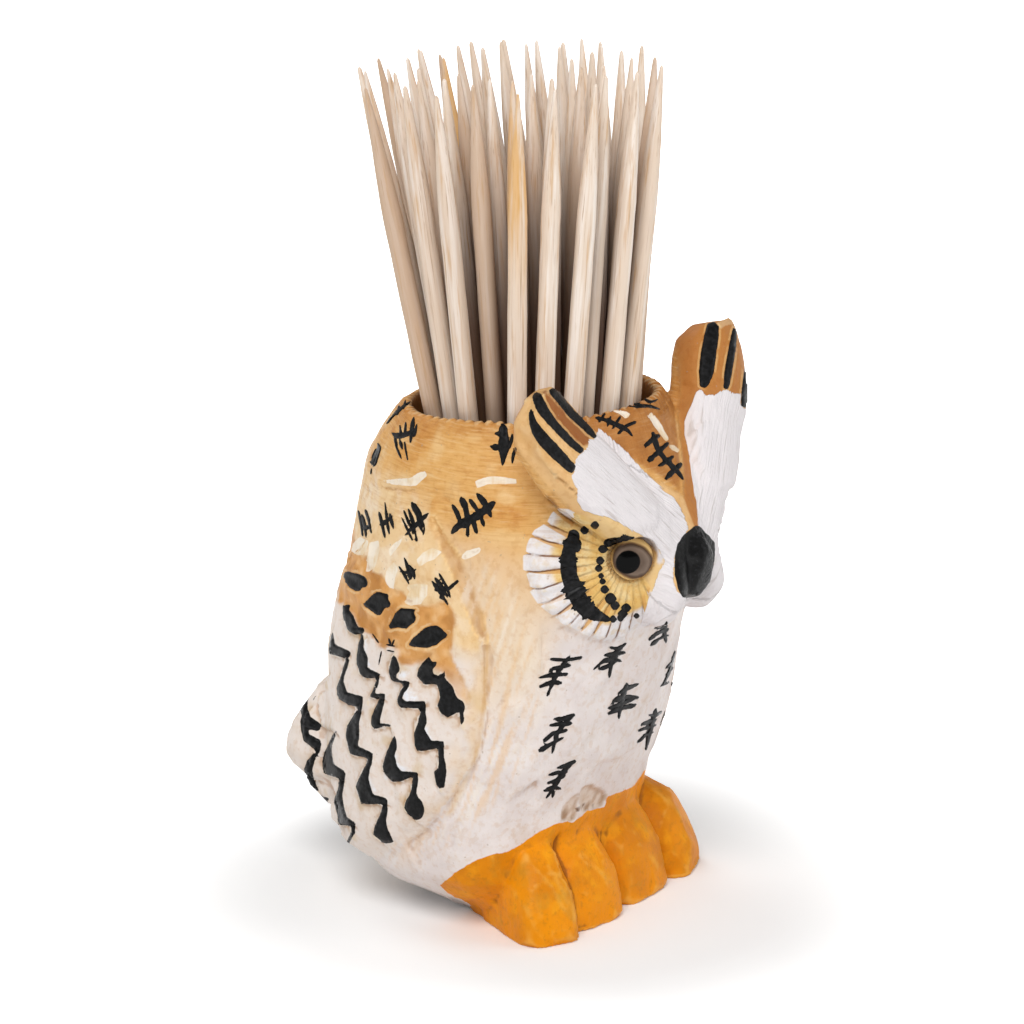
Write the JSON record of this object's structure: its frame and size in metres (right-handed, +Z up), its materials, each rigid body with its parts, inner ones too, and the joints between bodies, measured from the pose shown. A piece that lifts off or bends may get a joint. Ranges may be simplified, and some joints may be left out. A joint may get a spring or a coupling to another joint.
{
  "type": "toothpick holder",
  "caption": "Carved and painted wooden owl with a round bore behind its head that holds a fan of loose wooden toothpicks; each toothpick lifts out.",
  "frame": {"origin": "on the axis of the bore, in the plane of the flat base", "axes": "+Z up along the bore, the owl looks along -Y, its right side is at -X"},
  "size_m": [0.0386, 0.0471, 0.0865],
  "materials": {
    "painted_wood": "carved, stained and painted",
    "eye_glass": "polished",
    "birch": "bare"
  },
  "bodies": {
    "owl": {"owl_body": "painted_wood", "eye_right": "eye_glass", "eye_left": "eye_glass"},
    "toothpick_01": {"toothpick_01": "birch"},
    "toothpick_02": {"toothpick_02": "birch"},
    "toothpick_03": {"toothpick_03": "birch"},
    "toothpick_04": {"toothpick_04": "birch"},
    "toothpick_05": {"toothpick_05": "birch"},
    "toothpick_06": {"toothpick_06": "birch"},
    "toothpick_07": {"toothpick_07": "birch"},
    "toothpick_08": {"toothpick_08": "birch"},
    "toothpick_09": {"toothpick_09": "birch"},
    "toothpick_10": {"toothpick_10": "birch"},
    "toothpick_11": {"toothpick_11": "birch"},
    "toothpick_12": {"toothpick_12": "birch"},
    "toothpick_13": {"toothpick_13": "birch"},
    "toothpick_14": {"toothpick_14": "birch"},
    "toothpick_15": {"toothpick_15": "birch"},
    "toothpick_16": {"toothpick_16": "birch"},
    "toothpick_17": {"toothpick_17": "birch"},
    "toothpick_18": {"toothpick_18": "birch"},
    "toothpick_19": {"toothpick_19": "birch"},
    "toothpick_20": {"toothpick_20": "birch"},
    "toothpick_21": {"toothpick_21": "birch"},
    "toothpick_22": {"toothpick_22": "birch"},
    "toothpick_23": {"toothpick_23": "birch"},
    "toothpick_24": {"toothpick_24": "birch"},
    "toothpick_25": {"toothpick_25": "birch"},
    "toothpick_26": {"toothpick_26": "birch"},
    "toothpick_27": {"toothpick_27": "birch"},
    "toothpick_28": {"toothpick_28": "birch"},
    "toothpick_29": {"toothpick_29": "birch"},
    "toothpick_30": {"toothpick_30": "birch"},
    "toothpick_31": {"toothpick_31": "birch"},
    "toothpick_32": {"toothpick_32": "birch"},
    "toothpick_33": {"toothpick_33": "birch"},
    "toothpick_34": {"toothpick_34": "birch"},
    "toothpick_35": {"toothpick_35": "birch"},
    "toothpick_36": {"toothpick_36": "birch"},
    "toothpick_37": {"toothpick_37": "birch"},
    "toothpick_38": {"toothpick_38": "birch"},
    "toothpick_39": {"toothpick_39": "birch"},
    "toothpick_40": {"toothpick_40": "birch"},
    "toothpick_41": {"toothpick_41": "birch"},
    "toothpick_42": {"toothpick_42": "birch"},
    "toothpick_43": {"toothpick_43": "birch"},
    "toothpick_44": {"toothpick_44": "birch"},
    "toothpick_45": {"toothpick_45": "birch"},
    "toothpick_46": {"toothpick_46": "birch"},
    "toothpick_47": {"toothpick_47": "birch"},
    "toothpick_48": {"toothpick_48": "birch"}
  },
  "joints": [
    {"name": "toothpick_01_lift", "type": "slide", "parent": "owl", "child": "toothpick_01", "axis": [0.028, -0.0734, 0.9969], "range_m": [0, 0.068]},
    {"name": "toothpick_02_lift", "type": "slide", "parent": "owl", "child": "toothpick_02", "axis": [0.0721, -0.0705, 0.9949], "range_m": [0, 0.068]},
    {"name": "toothpick_03_lift", "type": "slide", "parent": "owl", "child": "toothpick_03", "axis": [0.0831, -0.0233, 0.9963], "range_m": [0, 0.068]},
    {"name": "toothpick_04_lift", "type": "slide", "parent": "owl", "child": "toothpick_04", "axis": [-0.0377, -0.0993, 0.9943], "range_m": [0, 0.068]},
    {"name": "toothpick_05_lift", "type": "slide", "parent": "owl", "child": "toothpick_05", "axis": [-0.0169, -0.0808, 0.9966], "range_m": [0, 0.068]},
    {"name": "toothpick_06_lift", "type": "slide", "parent": "owl", "child": "toothpick_06", "axis": [0.0126, -0.0298, 0.9995], "range_m": [0, 0.068]},
    {"name": "toothpick_07_lift", "type": "slide", "parent": "owl", "child": "toothpick_07", "axis": [0.0686, -0.028, 0.9973], "range_m": [0, 0.068]},
    {"name": "toothpick_08_lift", "type": "slide", "parent": "owl", "child": "toothpick_08", "axis": [0.0769, 0.0251, 0.9967], "range_m": [0, 0.068]},
    {"name": "toothpick_09_lift", "type": "slide", "parent": "owl", "child": "toothpick_09", "axis": [0.1282, 0.0402, 0.9909], "range_m": [0, 0.068]},
    {"name": "toothpick_10_lift", "type": "slide", "parent": "owl", "child": "toothpick_10", "axis": [-0.0857, -0.0895, 0.9923], "range_m": [0, 0.068]},
    {"name": "toothpick_11_lift", "type": "slide", "parent": "owl", "child": "toothpick_11", "axis": [-0.0697, -0.0457, 0.9965], "range_m": [0, 0.068]},
    {"name": "toothpick_12_lift", "type": "slide", "parent": "owl", "child": "toothpick_12", "axis": [-0.0087, -0.0417, 0.9991], "range_m": [0, 0.068]},
    {"name": "toothpick_13_lift", "type": "slide", "parent": "owl", "child": "toothpick_13", "axis": [0.0053, 0.0144, 0.9999], "range_m": [0, 0.068]},
    {"name": "toothpick_14_lift", "type": "slide", "parent": "owl", "child": "toothpick_14", "axis": [0.0441, 0.0225, 0.9988], "range_m": [0, 0.068]},
    {"name": "toothpick_15_lift", "type": "slide", "parent": "owl", "child": "toothpick_15", "axis": [0.093, 0.0597, 0.9939], "range_m": [0, 0.068]},
    {"name": "toothpick_16_lift", "type": "slide", "parent": "owl", "child": "toothpick_16", "axis": [0.1016, 0.0948, 0.9903], "range_m": [0, 0.068]},
    {"name": "toothpick_17_lift", "type": "slide", "parent": "owl", "child": "toothpick_17", "axis": [-0.1238, -0.0819, 0.9889], "range_m": [0, 0.068]},
    {"name": "toothpick_18_lift", "type": "slide", "parent": "owl", "child": "toothpick_18", "axis": [-0.0985, -0.0269, 0.9948], "range_m": [0, 0.068]},
    {"name": "toothpick_19_lift", "type": "slide", "parent": "owl", "child": "toothpick_19", "axis": [-0.0746, -0.0235, 0.9969], "range_m": [0, 0.068]},
    {"name": "toothpick_20_lift", "type": "slide", "parent": "owl", "child": "toothpick_20", "axis": [0.0533, 0.0801, 0.9954], "range_m": [0, 0.068]},
    {"name": "toothpick_21_lift", "type": "slide", "parent": "owl", "child": "toothpick_21", "axis": [0.0627, 0.1059, 0.9924], "range_m": [0, 0.068]},
    {"name": "toothpick_22_lift", "type": "slide", "parent": "owl", "child": "toothpick_22", "axis": [0.1093, 0.1221, 0.9865], "range_m": [0, 0.068]},
    {"name": "toothpick_23_lift", "type": "slide", "parent": "owl", "child": "toothpick_23", "axis": [-0.1328, -0.0119, 0.9911], "range_m": [0, 0.068]},
    {"name": "toothpick_24_lift", "type": "slide", "parent": "owl", "child": "toothpick_24", "axis": [-0.1204, -0.0102, 0.9927], "range_m": [0, 0.068]},
    {"name": "toothpick_25_lift", "type": "slide", "parent": "owl", "child": "toothpick_25", "axis": [0.0435, 0.1281, 0.9908], "range_m": [0, 0.068]},
    {"name": "toothpick_26_lift", "type": "slide", "parent": "owl", "child": "toothpick_26", "axis": [0.0612, 0.1445, 0.9876], "range_m": [0, 0.068]},
    {"name": "toothpick_27_lift", "type": "slide", "parent": "owl", "child": "toothpick_27", "axis": [-0.1873, -0.0151, 0.9822], "range_m": [0, 0.068]},
    {"name": "toothpick_28_lift", "type": "slide", "parent": "owl", "child": "toothpick_28", "axis": [-0.1355, 0.0302, 0.9903], "range_m": [0, 0.068]},
    {"name": "toothpick_29_lift", "type": "slide", "parent": "owl", "child": "toothpick_29", "axis": [-0.1275, 0.0336, 0.9913], "range_m": [0, 0.068]},
    {"name": "toothpick_30_lift", "type": "slide", "parent": "owl", "child": "toothpick_30", "axis": [-0.0043, 0.1463, 0.9892], "range_m": [0, 0.068]},
    {"name": "toothpick_31_lift", "type": "slide", "parent": "owl", "child": "toothpick_31", "axis": [0.027, 0.1553, 0.9875], "range_m": [0, 0.068]},
    {"name": "toothpick_32_lift", "type": "slide", "parent": "owl", "child": "toothpick_32", "axis": [0.0457, 0.1893, 0.9808], "range_m": [0, 0.068]},
    {"name": "toothpick_33_lift", "type": "slide", "parent": "owl", "child": "toothpick_33", "axis": [-0.1756, 0.0418, 0.9836], "range_m": [0, 0.068]},
    {"name": "toothpick_34_lift", "type": "slide", "parent": "owl", "child": "toothpick_34", "axis": [-0.164, 0.0499, 0.9852], "range_m": [0, 0.068]},
    {"name": "toothpick_35_lift", "type": "slide", "parent": "owl", "child": "toothpick_35", "axis": [-0.1226, 0.1054, 0.9868], "range_m": [0, 0.068]},
    {"name": "toothpick_36_lift", "type": "slide", "parent": "owl", "child": "toothpick_36", "axis": [-0.0772, 0.1099, 0.9909], "range_m": [0, 0.068]},
    {"name": "toothpick_37_lift", "type": "slide", "parent": "owl", "child": "toothpick_37", "axis": [-0.0668, 0.1531, 0.9859], "range_m": [0, 0.068]},
    {"name": "toothpick_38_lift", "type": "slide", "parent": "owl", "child": "toothpick_38", "axis": [-0.0081, 0.1803, 0.9836], "range_m": [0, 0.068]},
    {"name": "toothpick_39_lift", "type": "slide", "parent": "owl", "child": "toothpick_39", "axis": [0.0143, 0.195, 0.9807], "range_m": [0, 0.068]},
    {"name": "toothpick_40_lift", "type": "slide", "parent": "owl", "child": "toothpick_40", "axis": [-0.2037, 0.0907, 0.9748], "range_m": [0, 0.068]},
    {"name": "toothpick_41_lift", "type": "slide", "parent": "owl", "child": "toothpick_41", "axis": [-0.1492, 0.0934, 0.9844], "range_m": [0, 0.068]},
    {"name": "toothpick_42_lift", "type": "slide", "parent": "owl", "child": "toothpick_42", "axis": [-0.14, 0.1432, 0.9797], "range_m": [0, 0.068]},
    {"name": "toothpick_43_lift", "type": "slide", "parent": "owl", "child": "toothpick_43", "axis": [-0.0907, 0.162, 0.9826], "range_m": [0, 0.068]},
    {"name": "toothpick_44_lift", "type": "slide", "parent": "owl", "child": "toothpick_44", "axis": [-0.0538, 0.1858, 0.9811], "range_m": [0, 0.068]},
    {"name": "toothpick_45_lift", "type": "slide", "parent": "owl", "child": "toothpick_45", "axis": [-0.0388, 0.2301, 0.9724], "range_m": [0, 0.068]},
    {"name": "toothpick_46_lift", "type": "slide", "parent": "owl", "child": "toothpick_46", "axis": [-0.1567, 0.1357, 0.9783], "range_m": [0, 0.068]},
    {"name": "toothpick_47_lift", "type": "slide", "parent": "owl", "child": "toothpick_47", "axis": [-0.1407, 0.1886, 0.9719], "range_m": [0, 0.068]},
    {"name": "toothpick_48_lift", "type": "slide", "parent": "owl", "child": "toothpick_48", "axis": [-0.1053, 0.1995, 0.9742], "range_m": [0, 0.068]}
  ]
}
